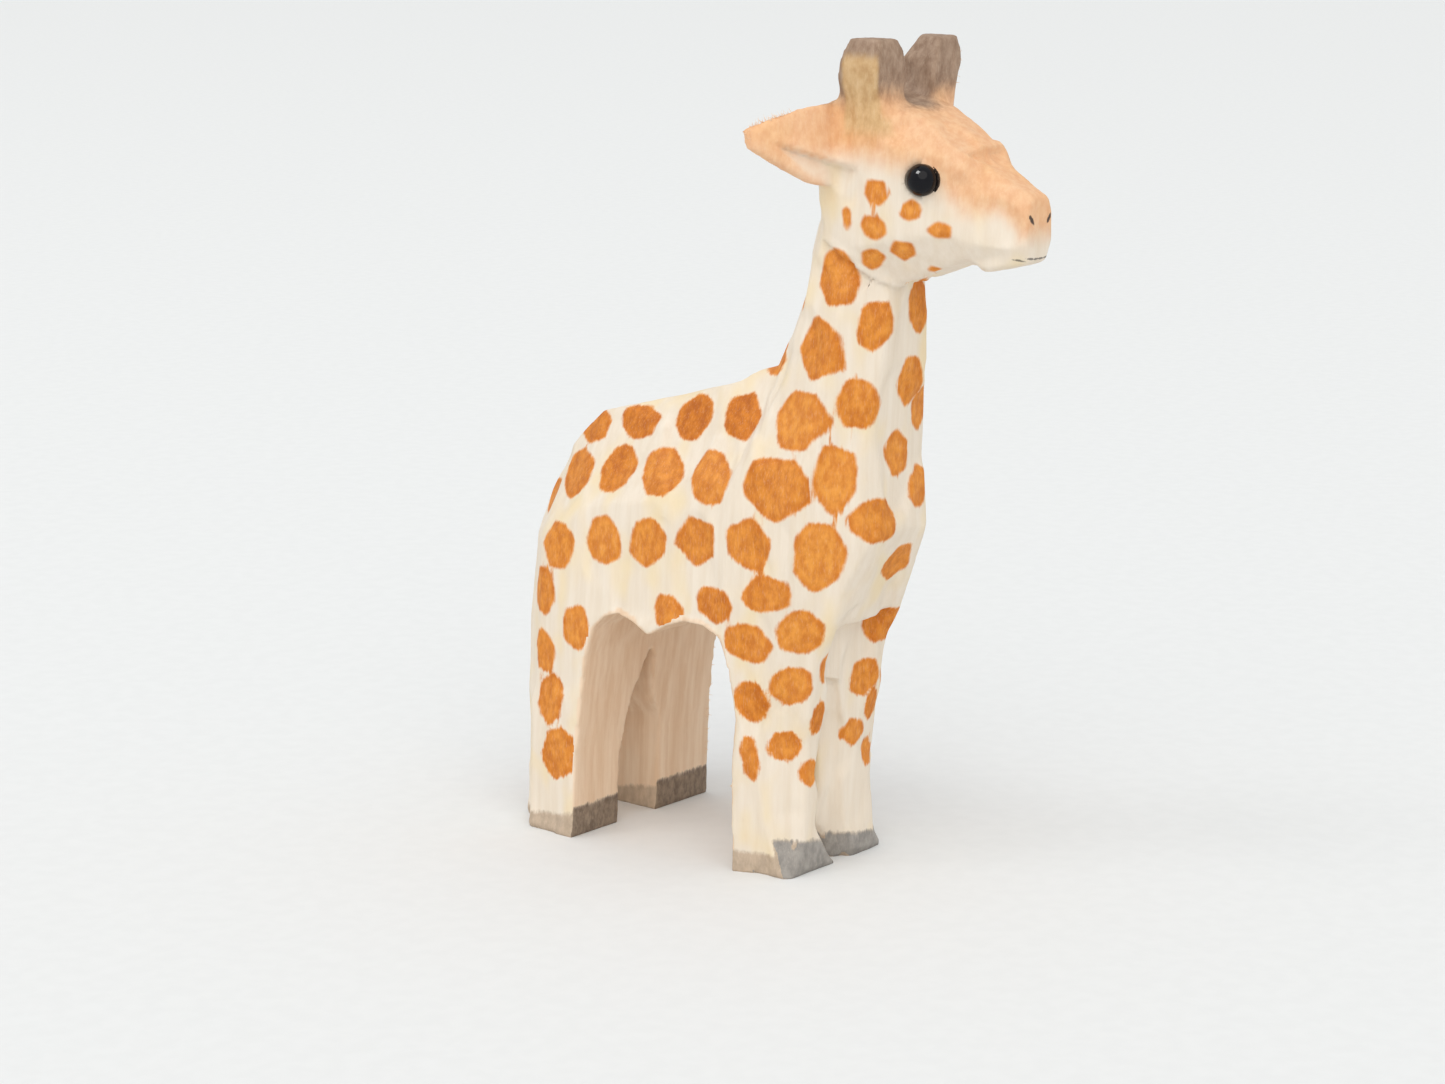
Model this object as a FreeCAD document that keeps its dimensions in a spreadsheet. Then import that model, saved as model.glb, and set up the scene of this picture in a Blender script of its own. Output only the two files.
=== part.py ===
import FreeCAD, Part
import os
import Sketcher

# Carved wooden giraffe, painted, with two glass eyes.
# Millimetres, +Z up, the giraffe looks along -Y, its right side is -X.
# The origin lies on the ground under the middle of the bounding box.

doc = FreeCAD.newDocument("carved_giraffe")
sheet = doc.addObject("Spreadsheet::Sheet", "sizes")
next_row = 1


def size(alias, value):
    """Write one named size into the sheet and give its expression back."""
    global next_row
    sheet.set("A%d" % next_row, alias)
    sheet.set("B%d" % next_row, str(value))
    sheet.setAlias("B%d" % next_row, alias)
    next_row += 1
    return "sizes." + alias


# ---------------------------------------------------------------- carving

# Each row is one outline of the carving: its name, its station, then the
# corners of its right half as (half width, level), from one end to the other.

# The legs are carved a little too long and trimmed level at the ground.
SOLE = -0.6

# Hindquarters and barrel: upright outlines from the rump forward along Y.
# The levels are heights.
BARREL = [
    ("rump", 25.0, [(6.3, SOLE), (6.3, 16.0), (5.6, 26.0), (3.0, 31.0)]),
    ("haunch", 21.6, [(10.1, SOLE), (9.8, 15.0), (9.0, 27.5), (4.2, 36.0)]),
    ("croup", 17.5, [(10.3, SOLE), (10.2, 18.0), (9.6, 29.5), (5.0, 39.5)]),
    ("loin", 10.0, [(10.3, SOLE), (10.2, 21.0), (9.6, 32.0), (5.2, 41.6)]),
    ("withers", 2.5, [(9.8, SOLE), (9.9, 23.0), (9.2, 34.0), (4.8, 43.9)]),
    ("shoulder", -3.0, [(8.0, SOLE), (9.6, 24.0), (8.4, 34.0), (4.2, 46.6)]),
]

# Front legs, chest and neck: flat outlines from the ground up along Z.
# The levels are depths along Y, from the front face to the back.
COLUMN = [
    ("hoof", SOLE, [(7.3, -6.9), (7.6, -6.5), (7.6, 1.0), (6.0, 2.0)]),
    ("pastern", 5.0, [(5.4, -6.8), (8.1, -4.7), (8.1, 1.0), (6.0, 2.0)]),
    ("knee", 12.0, [(5.2, -6.9), (8.7, -4.1), (8.7, 1.0), (6.0, 2.0)]),
    ("forearm", 20.0, [(6.0, -8.0), (9.5, -4.4), (9.5, 1.0), (6.0, 2.0)]),
    ("brisket", 31.5, [(4.2, -12.7), (9.4, -6.6), (9.4, 1.0), (6.0, 2.0)]),
    ("breast", 38.0, [(4.0, -12.2), (8.4, -8.0), (8.4, -0.8), (4.6, 1.6)]),
    ("neck_root", 45.0, [(3.6, -12.4), (6.9, -8.8), (6.9, -4.2), (3.2, -0.9)]),
    ("neck", 52.0, [(3.2, -12.9), (5.9, -10.0), (5.9, -5.9), (2.8, -3.2)]),
    ("throat", 59.0, [(3.2, -13.0), (5.6, -10.2), (5.5, -7.0), (2.6, -4.8)]),
]

# Head: upright outlines from the poll forward to the nose along Y.
HEAD = [
    ("poll", -5.8, [(2.6, 58.0), (4.2, 60.5), (4.6, 66.0), (4.0, 67.8)]),
    ("ear_line", -6.9, [(3.2, 55.0), (5.7, 58.5), (6.0, 66.6), (5.2, 69.2)]),
    ("cheek", -10.2, [(2.8, 53.2), (5.9, 57.2), (6.2, 66.8), (5.2, 70.2)]),
    ("brow", -14.6, [(2.6, 54.2), (5.4, 58.0), (5.7, 66.0), (3.8, 68.8)]),
    ("eye_line", -18.9, [(2.4, 55.9), (4.5, 58.6), (4.1, 65.2), (2.7, 66.9)]),
    ("brow_tip", -20.3, [(2.4, 55.7), (4.1, 58.3), (3.8, 64.2), (2.6, 65.9)]),
    ("brow_step", -20.7, [(2.4, 55.6), (4.0, 58.2), (3.6, 63.4), (2.2, 65.0)]),
    ("bridge", -21.9, [(2.3, 55.5), (3.6, 58.0), (3.1, 62.2), (1.9, 64.2)]),
    ("nose", -25.0, [(1.6, 56.6), (2.5, 58.2), (2.4, 60.8), (1.5, 62.2)]),
]

# Horns: flat four-cornered outlines from inside the head up along Z, as
# (X, Y) corners of the left one: inner front, outer front, outer back,
# inner back.
HORN = [
    ("horn_root", 66.0, [(0.9, -13.2), (5.6, -13.2), (5.6, -8.0), (0.9, -8.0)]),
    ("horn_waist", 70.2, [(1.9, -13.0), (6.2, -13.0), (6.2, -8.6), (1.9, -8.8)]),
    ("horn_crown", 72.6, [(2.0, -13.2), (6.5, -13.2), (6.5, -8.8), (2.5, -9.1)]),
    ("horn_top", 74.8, [(2.8, -12.9), (6.1, -12.9), (6.1, -9.6), (4.0, -10.2)]),
]

# Ears: upright four-cornered outlines outward along X, as (Y, Z) corners:
# front low, back low, back high, front high.
EAR = [
    ("ear_root", 4.0, [(-10.6, 61.8), (-7.2, 61.6), (-6.4, 67.2), (-9.8, 70.0)]),
    ("ear_bowl", 8.2, [(-8.2, 62.2), (-6.2, 62.6), (-4.4, 67.2), (-7.2, 69.2)]),
    ("ear_tip", 12.0, [(-4.6, 65.2), (-3.4, 65.2), (-2.9, 66.9), (-4.0, 67.3)]),
]

# Cuts right through the carving.
# Gap between front and hind legs, seen from the side as (Y, Z) corners.
LEG_GAP = [
    (16.1, -2.0), (16.0, 8.0), (15.5, 13.5), (15.0, 17.5), (14.2, 20.3), (12.9, 21.6),
    (11.4, 22.1), (9.7, 21.6), (7.9, 20.6), (6.2, 21.6), (4.2, 22.4), (1.9, 22.4),
    (0.2, 21.5), (-0.6, 19.6), (-1.5, 15.0), (-1.0, 8.0), (-1.2, -2.0),
]
# Slots between the left and right legs, seen from the front as (X, Z).
HIND_SLOT = [
    (-3.3, -2.0), (-3.5, 4.0), (-3.2, 7.5), (-2.4, 11.8), (-1.2, 14.4), (-0.4, 16.4),
    (0.4, 16.4), (0.7, 13.2), (1.3, 11.0), (2.4, 9.2), (2.3, 7.0), (2.2, -2.0),
]
FRONT_SLOT = [
    (1.0, -2.0), (-3.0, 4.0), (-2.9, 10.0), (-2.4, 14.5),
    (-1.8, 14.5), (-1.7, 10.0), (-1.8, 4.0), (1.7, -2.0),
]
# Valley in front of that slot, up to a ledge under the breast: three cuts from
# the front, the narrow one deepest, each seen from the front as (X, Z).
VALLEYS = [
    ("valley_deep", -4.7, [
        (1.0, -2.0), (-3.0, 4.0), (-2.9, 12.0), (-2.9, 13.0), (-1.4, 12.0), (-1.4, 4.0), (1.8, -2.0),
    ]),
    ("valley_middle", -5.8, [
        (1.0, -2.0), (-3.0, 4.0), (-2.9, 12.0), (-3.0, 18.0), (-0.4, 17.0), (0.5, 12.0),
        (0.6, 5.0), (2.3, -2.0),
    ]),
    ("valley_ledge", -7.3, [
        (-3.0, 4.0), (-2.9, 12.0), (-3.3, 22.5), (4.2, 23.2), (2.0, 17.0), (0.7, 12.0), (0.7, 4.0),
    ]),
]

# The trim that levels the four hooves, seen from the side as (Y, Z) corners.
SOLE_TRIM = [(-30.0, -3.0), (30.0, -3.0), (30.0, 0.0), (-30.0, 0.0)]

CUT_WIDTH = size("cut_width", 40)

# ---------------------------------------------------------------- eyes

EYE_ALONG = size("eye_along", -16.8)
EYE_HEIGHT = size("eye_height", 63.2)
EYE_SEAT = size("eye_seat", 4.2)
EYE_RADIUS = size("eye_radius", 1.5)
DOME_RADIUS = size("dome_radius", 1.65)
DOME_SINK = size("dome_sink", 0.2)
GLUE_THICK = size("glue_thick", 0.25)
STEM_RADIUS = size("stem_radius", 0.3)
STEM_IN_EYE = size("stem_in_eye", 0.7)
STEM_IN_WOOD = size("stem_in_wood", 2.2)


def origin_plane(body, role):
    """One of the three planes at the origin of the body."""
    return [f for f in body.Origin.OriginFeatures if f.Role == role][0]


def outline(body, name, role, station, corners):
    """A closed outline of straight edges at a station off an origin plane."""
    sketch = body.newObject("Sketcher::SketchObject", name)
    sketch.AttachmentSupport = [(origin_plane(body, role), "")]
    sketch.MapMode = "FlatFace"
    sign = -1 if role == "XZ_Plane" else 1
    away = size(name + "_station", station)
    sketch.setExpression("AttachmentOffset.Base.z", "%d * %s" % (sign, away))
    count = len(corners)
    for i in range(count):
        start = FreeCAD.Vector(*corners[i][:2], 0)
        end = FreeCAD.Vector(*corners[(i + 1) % count][:2], 0)
        sketch.addGeometry(Part.LineSegment(start, end), False)
    for i in range(count):
        sketch.addConstraint(Sketcher.Constraint("Coincident", i, 2, (i + 1) % count, 1))
    for i, (across, up, across_size, up_size) in enumerate(corners):
        for kind, value, formula in (
            ("DistanceX", across, across_size),
            ("DistanceY", up, up_size),
        ):
            number = sketch.addConstraint(Sketcher.Constraint(kind, -1, 1, i, 1, value))
            sketch.setExpression("Constraints[%d]" % number, formula)
    return sketch


def free_corners(name, corners):
    """Corners with a named size for each of their two distances."""
    named = []
    for i, (across, up) in enumerate(corners):
        tag = "%s_%s" % (name, "abcdefghijklmnopq"[i])
        named.append((across, up, size(tag + "_across", across), size(tag + "_up", up)))
    return named


def twin_corners(name, half):
    """Corners of a whole outline from its one half, mirrored at x = 0."""
    right = free_corners(name, half)
    left = [(-x, up, "-" + x_size, up_size) for x, up, x_size, up_size in right]
    return right + left[::-1]


def loft(body, name, sketches):
    """A knife-faceted skin through a row of outlines."""
    feature = body.newObject("PartDesign::AdditiveLoft", name)
    feature.Profile = sketches[0]
    feature.Sections = sketches[1:]
    feature.Ruled = True
    doc.recompute()
    body.Tip = feature
    return feature


def pocket(body, name, sketch, symmetric, depth, reverse):
    """A cut of the outline straight through the wood; it must remove some."""
    before = body.Tip.Shape.Volume
    feature = body.newObject("PartDesign::Pocket", name)
    feature.Profile = sketch
    feature.SideType = "Symmetric" if symmetric else "One side"
    feature.setExpression("Length", depth)
    feature.Reversed = reverse
    doc.recompute()
    body.Tip = feature
    print(name, "removes", round(before - feature.Shape.Volume, 1), "mm3")
    assert feature.Shape.Volume < before - 0.5
    return feature


def twin_loft(body, name, role, rows):
    """A loft through outlines that are the same on both sides."""
    sketches = [
        outline(body, row, role, station, twin_corners(row, half))
        for row, station, half in rows
    ]
    return loft(body, name, sketches)


def add_horns(body):
    """The two short horns, widest just under their cut tops."""
    for side, sign in (("right", -1), ("left", 1)):
        sketches = []
        for row, station, left_corners in HORN:
            name = "%s_%s" % (side, row)
            corners = [(sign * x, y) for x, y in left_corners]
            sketches.append(outline(body, name, "XY_Plane", station, free_corners(name, corners)))
        loft(body, side + "_horn", sketches)


def add_ears(body):
    """The two ears, swept outward and back."""
    for side, sign in (("right", -1), ("left", 1)):
        sketches = []
        for row, station, corners in EAR:
            name = "%s_%s" % (side, row)
            sketches.append(
                outline(body, name, "YZ_Plane", sign * station, free_corners(name, corners))
            )
        loft(body, side + "_ear", sketches)


def cut_legs(body):
    """The gap behind the front legs, the slots between left and right, level hooves."""
    gap = outline(body, "leg_gap", "YZ_Plane", 0, free_corners("leg_gap", LEG_GAP))
    pocket(body, "leg_gap_cut", gap, True, CUT_WIDTH, False)
    hind = outline(body, "hind_slot", "XZ_Plane", 8, free_corners("hind_slot", HIND_SLOT))
    pocket(body, "hind_slot_cut", hind, False, CUT_WIDTH, False)
    front = outline(body, "front_slot", "XZ_Plane", 8, free_corners("front_slot", FRONT_SLOT))
    pocket(body, "front_slot_cut", front, False, CUT_WIDTH, True)
    for name, station, corners in VALLEYS:
        valley = outline(body, name, "XZ_Plane", station, free_corners(name, corners))
        pocket(body, name + "_cut", valley, False, CUT_WIDTH, True)
    trim = outline(body, "sole_trim", "YZ_Plane", 0, free_corners("sole_trim", SOLE_TRIM))
    pocket(body, "sole_trim_cut", trim, True, CUT_WIDTH, False)


def round_hole(body, name, sign, start, radius, depth):
    """A round hole into the side of the head at the eye."""
    sketch = body.newObject("Sketcher::SketchObject", name)
    sketch.AttachmentSupport = [(origin_plane(body, "YZ_Plane"), "")]
    sketch.MapMode = "FlatFace"
    sketch.setExpression("AttachmentOffset.Base.z", "%d * (%s)" % (sign, start))
    circle = Part.Circle(FreeCAD.Vector(-16.8, 63.2, 0), FreeCAD.Vector(0, 0, 1), 1.0)
    sketch.addGeometry(circle, False)
    for kind, ends, value, formula in (
        ("DistanceX", (-1, 1, 0, 3), -16.8, EYE_ALONG),
        ("DistanceY", (-1, 1, 0, 3), 63.2, EYE_HEIGHT),
        ("Radius", (0,), 1.0, radius),
    ):
        number = sketch.addConstraint(Sketcher.Constraint(kind, *ends, value))
        sketch.setExpression("Constraints[%d]" % number, formula)
    pocket(body, name + "_cut", sketch, False, depth, sign < 0)


def drill_eye_seats(body):
    """A shallow round seat for each eye and a fine bore for its stem."""
    for side, sign in (("right", -1), ("left", 1)):
        open_air = EYE_SEAT + " + 4"
        round_hole(body, side + "_eye_seat", sign, open_air, EYE_RADIUS, "4")
        round_hole(body, side + "_stem_bore", sign, open_air, STEM_RADIUS, "4 + " + STEM_IN_WOOD)


def carve_figure():
    """The whole animal, cut from one piece of wood."""
    body = doc.addObject("PartDesign::Body", "carved_figure")
    body.Label = "carved_figure"
    twin_loft(body, "barrel_loft", "XZ_Plane", BARREL)
    twin_loft(body, "column_loft", "XY_Plane", COLUMN)
    twin_loft(body, "head_loft", "XZ_Plane", HEAD)
    add_horns(body)
    add_ears(body)
    cut_legs(body)
    drill_eye_seats(body)
    return body


def round_bar(name, sign, start, radius, length):
    """A cylinder on the eye's axis that starts at a half width and runs outward."""
    bar = doc.addObject("Part::Cylinder", name)
    bar.Placement = FreeCAD.Placement(
        FreeCAD.Vector(0, 0, 0), FreeCAD.Rotation(FreeCAD.Vector(0, 1, 0), 90 * sign)
    )
    place_on_eye(bar, sign, start)
    bar.setExpression("Radius", radius)
    bar.setExpression("Height", length)
    return bar


def place_on_eye(shape, sign, start):
    """Set a shape on the axis of the right or left eye."""
    shape.setExpression("Placement.Base.x", "%d * (%s)" % (sign, start))
    shape.setExpression("Placement.Base.y", EYE_ALONG)
    shape.setExpression("Placement.Base.z", EYE_HEIGHT)


def labelled_cut(label, base, tool):
    """One shape less another, kept as a sub-part of its own."""
    cut = doc.addObject("Part::Cut", label)
    cut.Base = base
    cut.Tool = tool
    cut.Label = label
    return cut


def make_eye(side, sign):
    """Glass bead with a domed front and a flat back, its glue bed and wire stem."""
    back = "%s + %s" % (EYE_SEAT, GLUE_THICK)
    dome = doc.addObject("Part::Sphere", side + "_dome")
    dome.setExpression("Radius", DOME_RADIUS)
    place_on_eye(dome, sign, "%s + %s" % (back, DOME_SINK))
    rod = round_bar(side + "_bead", sign, back, EYE_RADIUS, "3")
    bead = doc.addObject("Part::Common", side + "_bead_dome")
    bead.Base = dome
    bead.Tool = rod
    socket = round_bar(side + "_eye_bore", sign, EYE_SEAT, STEM_RADIUS,
                       "%s + %s" % (GLUE_THICK, STEM_IN_EYE))
    eye = labelled_cut(side + "_eye", bead, socket)

    bed = round_bar(side + "_bed", sign, EYE_SEAT, EYE_RADIUS, GLUE_THICK)
    hole = round_bar(side + "_bed_hole", sign, EYE_SEAT, STEM_RADIUS, GLUE_THICK)
    glue = labelled_cut(side + "_eye_glue", bed, hole)

    stem = round_bar(side + "_eye_stem", sign, "%s - %s" % (EYE_SEAT, STEM_IN_WOOD), STEM_RADIUS,
                     "%s + %s + %s" % (STEM_IN_WOOD, GLUE_THICK, STEM_IN_EYE))
    stem.Label = side + "_eye_stem"
    return [eye, glue, stem]


sub_parts = [carve_figure()]
for side, sign in (("right", -1), ("left", 1)):
    sub_parts += make_eye(side, sign)
doc.recompute()

for item in doc.Objects:
    assert "Invalid" not in item.State and "Error" not in item.State, item.Name

os.makedirs("parts", exist_ok=True)
for item in sub_parts:
    shape = item.Shape
    assert not shape.isNull() and shape.isValid(), item.Label
    box = shape.BoundBox
    print(item.Label, "solids", len(shape.Solids), "volume", round(shape.Volume, 2),
          "x", round(box.XMin, 2), round(box.XMax, 2), "y", round(box.YMin, 2),
          round(box.YMax, 2), "z", round(box.ZMin, 2), round(box.ZMax, 2))
    shape.exportStep("parts/%s.step" % item.Label)
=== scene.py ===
import math
import random

import bmesh
import bpy
import numpy as np
from mathutils import Matrix, Vector, noise
from mathutils.bvhtree import BVHTree


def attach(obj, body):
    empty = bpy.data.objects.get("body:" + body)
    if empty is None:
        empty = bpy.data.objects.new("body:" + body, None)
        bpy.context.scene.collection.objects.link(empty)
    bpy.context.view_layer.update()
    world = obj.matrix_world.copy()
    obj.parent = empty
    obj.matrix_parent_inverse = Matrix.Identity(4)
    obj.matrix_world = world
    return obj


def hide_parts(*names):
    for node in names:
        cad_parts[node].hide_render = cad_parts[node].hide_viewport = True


# A hand-carved giraffe of painted basswood with glass eyes, on a pale floor.
# Lengths in this script are millimetres until a mesh is finished.

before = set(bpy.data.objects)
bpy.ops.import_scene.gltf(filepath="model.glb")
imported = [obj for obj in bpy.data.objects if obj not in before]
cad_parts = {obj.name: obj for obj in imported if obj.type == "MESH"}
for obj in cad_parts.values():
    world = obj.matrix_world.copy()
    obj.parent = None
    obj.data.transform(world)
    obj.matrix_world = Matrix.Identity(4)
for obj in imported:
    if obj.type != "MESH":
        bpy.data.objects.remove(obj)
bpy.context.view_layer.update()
MM = 0.001

# ---------------------------------------------------------------- the wood

BLANK_GRAIN = 0.25  # side of the little squares that the blank is made of
TRIANGLE_BUDGET = 190000  # for the wood alone

# Soften the sawn blank's arrises, then the facets, by this many light sandings.
ARRIS_SANDINGS = 16
FACET_SANDINGS = 3

# Small shavings all over the skin, dealt by chance.
SHAVING_SEED = 41
SHAVING_TRIES = 2600
SHAVING_SPACING = 3.3
SHAVING_DEPTH = 0.16
SHAVING_TILT = 0.065
SHAVING_LENGTHS = (4.0, 7.0)  # along the grain
SHAVING_WIDTHS = (2.2, 3.2)
HEAD_BASE = 53  # above this height the shavings are half as big

# Deliberate knife cuts on the right side, repeated on the left: where, which way
# the cut faces (turned from the front towards the right, then tilted up), depth,
# and reach along and across the grain.
KNIFE_CUTS = [
    # brow, temple and forehead
    ((-2.6, -17.0, 68.0), 14, 52, 0.35, 3.2, 2.6),
    ((-5.0, -16.6, 66.6), 78, 40, 0.35, 2.6, 3.4),
    # cheek and muzzle
    ((-4.5, -20.2, 60.8), 78, 16, 0.35, 3.2, 2.4),
    ((-3.3, -22.7, 59.6), 62, 8, 0.4, 2.6, 2.4),
    ((-3.7, -21.6, 57.5), 68, -38, 0.35, 1.8, 3.0),
    # bevel along the jaw
    ((-5.0, -12.6, 55.6), 80, -38, 0.35, 2.2, 3.6),
    ((-3.9, -16.2, 55.2), 66, -40, 0.3, 1.8, 3.0),
    # corner of the rump and top of the haunch
    ((-8.6, 20.8, 30.0), 130, 22, 0.6, 7.0, 3.6),
    ((-6.4, 9.0, 39.6), 96, 42, 0.35, 4.5, 6.0),
    # shoulder, withers and breast
    ((-8.0, -9.0, 31.0), 52, -6, 0.5, 7.0, 3.4),
    ((-6.4, -4.0, 43.5), 100, 24, 0.35, 5.0, 3.4),
    ((-4.6, -12.2, 40.5), 30, 4, 0.3, 6.5, 2.6),
    # flank, then elbow and shin of the front leg
    ((-9.7, 10.6, 26.0), 92, -2, 0.35, 7.0, 2.2),
    ((-9.6, 3.0, 27.0), 88, -4, 0.3, 6.0, 3.2),
    ((-8.9, -3.6, 19.0), 74, -6, 0.35, 7.0, 2.4),
    ((-7.0, -6.2, 12.0), 40, -2, 0.3, 8.0, 2.2),
]

# Grooves on the right side, repeated on the left: from, to, half width, depth.
GROOVES = [
    # notch behind the chin
    ((-3.2, -20.6, 56.0), (0.0, -20.6, 56.0), 0.7, 0.35),
    # back of the horns, where they leave the head
    ((-5.9, -8.0, 68.4), (-2.0, -8.0, 68.6), 0.6, 0.3),
    # crease between haunch and flank
    ((-10.0, 11.0, 33.0), (-10.2, 10.8, 24.4), 0.45, 0.3),
    ((-9.6, 6.6, 31.0), (-9.9, 6.9, 24.6), 0.5, 0.2),
]

# Sharp little walls with a sloping floor below them, on the right side and
# repeated on the left: the two ends of the upper edge, the depth, how far down the
# floor runs at the start and at the end, and how far the edge stands proud.
EAR_EDGE = ((-10.9, -5.0, 66.05), (-6.1, -10.6, 63.9))
EAR_OPENING = 2.4
STEPS = [
    (*EAR_EDGE, 0.85, 0.3, EAR_OPENING, 0.16),
    # jaw over the neck
    ((-5.9, -7.0, 57.6), (-5.8, -10.3, 55.5), 0.6, 1.4, 3.2, 0.12),
    ((-5.8, -10.1, 55.6), (-5.2, -12.0, 54.2), 0.65, 3.0, 3.0, 0.12),
    ((-5.3, -11.8, 54.3), (-1.4, -13.4, 53.2), 0.55, 3.0, 2.4, 0.08),
    # brow over the bridge of the nose
    ((-2.9, -20.3, 65.9), (-0.25, -20.3, 65.9), 0.5, 0.9, 2.6, 0.1),
]

# The muzzle forward of its root is drawn out and pinched.
MUZZLE_ROOT = -22.0
MUZZLE_LENGTH = 3.0
NOSE_PUSH = 0.7
NOSE_PINCH = 0.14

# The eyes' axis, level across the head: along Y, and height. Outward from the
# middle of the head lie the floor of the seat, the glue, the bead and its dome.
EYE_AXIS = (-16.8, 63.2)
EYE_RADIUS = 1.38
EYE_RIM = 1.92  # wood nearer to the axis than this is pressed against the bead
EYE_SEAT = 4.2
GLUE_THICK = 0.25
DOME_FRONT = 6.15
DOME_RADIUS = 1.42


def fine_blank():
    """The carving's CAD mesh, rebuilt in even little squares, in mm, and the sharp
    CAD skin itself to look faces up on."""
    merged = bmesh.new()
    merged.from_mesh(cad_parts["carved_figure"].data)
    bmesh.ops.scale(merged, vec=Vector((1 / MM,) * 3), verts=merged.verts)
    bmesh.ops.remove_doubles(merged, verts=merged.verts, dist=0.0005)
    bmesh.ops.recalc_face_normals(merged, faces=merged.faces)
    mesh = bpy.data.meshes.new("wood_blank")
    merged.to_mesh(mesh)
    merged.free()
    blank = bpy.data.objects.new("wood_blank", mesh)
    bpy.context.scene.collection.objects.link(blank)
    sharp = BVHTree.FromPolygons(
        [v.co.copy() for v in mesh.vertices], [tuple(p.vertices) for p in mesh.polygons]
    )
    remesh = blank.modifiers.new("even squares", "REMESH")
    remesh.mode = "VOXEL"
    remesh.voxel_size = BLANK_GRAIN
    remesh.adaptivity = 0.0
    baked = bpy.data.meshes.new_from_object(
        blank.evaluated_get(bpy.context.evaluated_depsgraph_get())
    )
    bpy.data.objects.remove(blank)
    return baked, sharp


def read_points(mesh):
    flat = np.empty(len(mesh.vertices) * 3)
    mesh.vertices.foreach_get("co", flat)
    return flat.reshape(-1, 3)


def write_points(mesh, points):
    mesh.vertices.foreach_set("co", points.astype(np.float32).ravel())
    mesh.update()


def read_normals(mesh):
    flat = np.empty(len(mesh.vertices) * 3, np.float32)
    mesh.vertex_normals.foreach_get("vector", flat)
    return flat.reshape(-1, 3).astype(float)


def read_edges(mesh):
    flat = np.empty(len(mesh.edges) * 2, np.int64)
    mesh.edges.foreach_get("vertices", flat)
    return flat.reshape(-1, 2)


def relax(values, edges, rounds, weight):
    """Each value drifts towards the mean of its neighbours, by its own weight."""
    count = len(values)
    one, two = edges[:, 0], edges[:, 1]
    degree = np.bincount(one, minlength=count) + np.bincount(two, minlength=count)
    columns = values if values.ndim == 2 else values[:, None]
    columns = columns.copy()
    for _ in range(rounds):
        for k in range(columns.shape[1]):
            total = np.bincount(one, columns[two, k], count)
            total += np.bincount(two, columns[one, k], count)
            columns[:, k] += weight * (total / degree - columns[:, k])
    return columns if values.ndim == 2 else columns[:, 0]


def ramp(value, low, high):
    """0 below low, 1 above high, smooth between."""
    t = np.clip((value - low) / (high - low), 0.0, 1.0)
    return t * t * (3 - 2 * t)


def sawn_share(points, normals):
    """1 on the bare sawn faces between the legs, 0 on the painted outside."""
    x, y, z = points.T
    gap = ramp(y, -2.6, -2.2) * (1 - ramp(y, 16.8, 17.2)) * (1 - ramp(z, 22.6, 23.2))
    across = 1 - ramp(np.abs(normals[:, 0]), 0.45, 0.75)
    slot = (1 - ramp(np.abs(x), 3.0, 3.3)) * (1 - ramp(z, 17.2, 17.8)) * ramp(y, 14.0, 15.0)
    side = ramp(np.abs(normals[:, 0]), 0.5, 0.8)
    return np.maximum(gap * across, slot * side)


def facing(turn, tilt):
    """Unit vector from a turn round the animal, 0 at its front, and a tilt up."""
    turn, tilt = math.radians(turn), math.radians(tilt)
    return np.array(
        [
            math.sin(turn) * math.cos(tilt),
            -math.cos(turn) * math.cos(tilt),
            math.sin(tilt),
        ]
    )


def shave(points, normals, spot, face, depth, along, across, share):
    """One shallow flat knife cut, longer along the grain, that fades out at its rim."""
    offset = points - spot
    grain = np.array([0.0, 0.0, 1.0]) - face[2] * face
    if np.linalg.norm(grain) < 0.3:
        grain = np.array([0.0, 1.0, 0.0]) - face[1] * face
    grain /= np.linalg.norm(grain)
    side = np.cross(face, grain)
    height = offset @ face
    reach = (offset @ grain / along) ** 2 + (offset @ side / across) ** 2
    proud = np.minimum(height + depth, 0.5) * np.clip(2.2 * (1 - reach), 0, 1)
    cut = (proud > 0) & (np.abs(height) < 1.5) & (normals @ face > 0.25)
    points[cut] -= (proud * share)[cut, None] * face


def groove(points, normals, start, end, half_width, depth):
    """A V-shaped cut along a line on the surface."""
    run = end - start
    share = np.clip((points - start) @ run / (run @ run), 0, 1)
    gap = np.linalg.norm(points - (start + share[:, None] * run), axis=1)
    near = gap < half_width * 1.6
    fall = np.clip(1 - gap / (half_width * 1.6), 0, 1) ** 1.4
    points[near] -= (depth * fall)[near, None] * normals[near]


def sink_step(points, normals, start, end, depth, narrow, wide, proud):
    """How far each point sinks below a step's edge, and the way it sinks."""
    length = np.linalg.norm(end - start)
    along = (end - start) / length
    middle = np.linalg.norm(points - (start + end) / 2, axis=1) < 1.4
    face = normals[middle & (normals[:, 1] < 0.3)].mean(axis=0)
    face -= (face @ along) * along
    face /= np.linalg.norm(face)
    down = np.cross(along, face)
    down *= -np.sign(down[2])
    offset = points - start
    u, w = offset @ along, offset @ down
    ends = ramp(u, 0.0, 0.3 * length) * (1 - ramp(u, length - 0.2, length + 0.5))
    opening = narrow + (wide - narrow) * ramp(u, 0.0, length)
    floor = ramp(w, 0.0, 0.2) * np.clip(1 - w / opening, 0, 1)
    lip = proud * ramp(w, -1.0, -0.1) * (1 - ramp(w, -0.1, 0.05))
    inside = (np.abs(offset @ face) < 1.8) & (normals @ face > 0.2)
    return np.where(inside, (lip - depth * floor) * ends, 0.0), face


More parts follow.
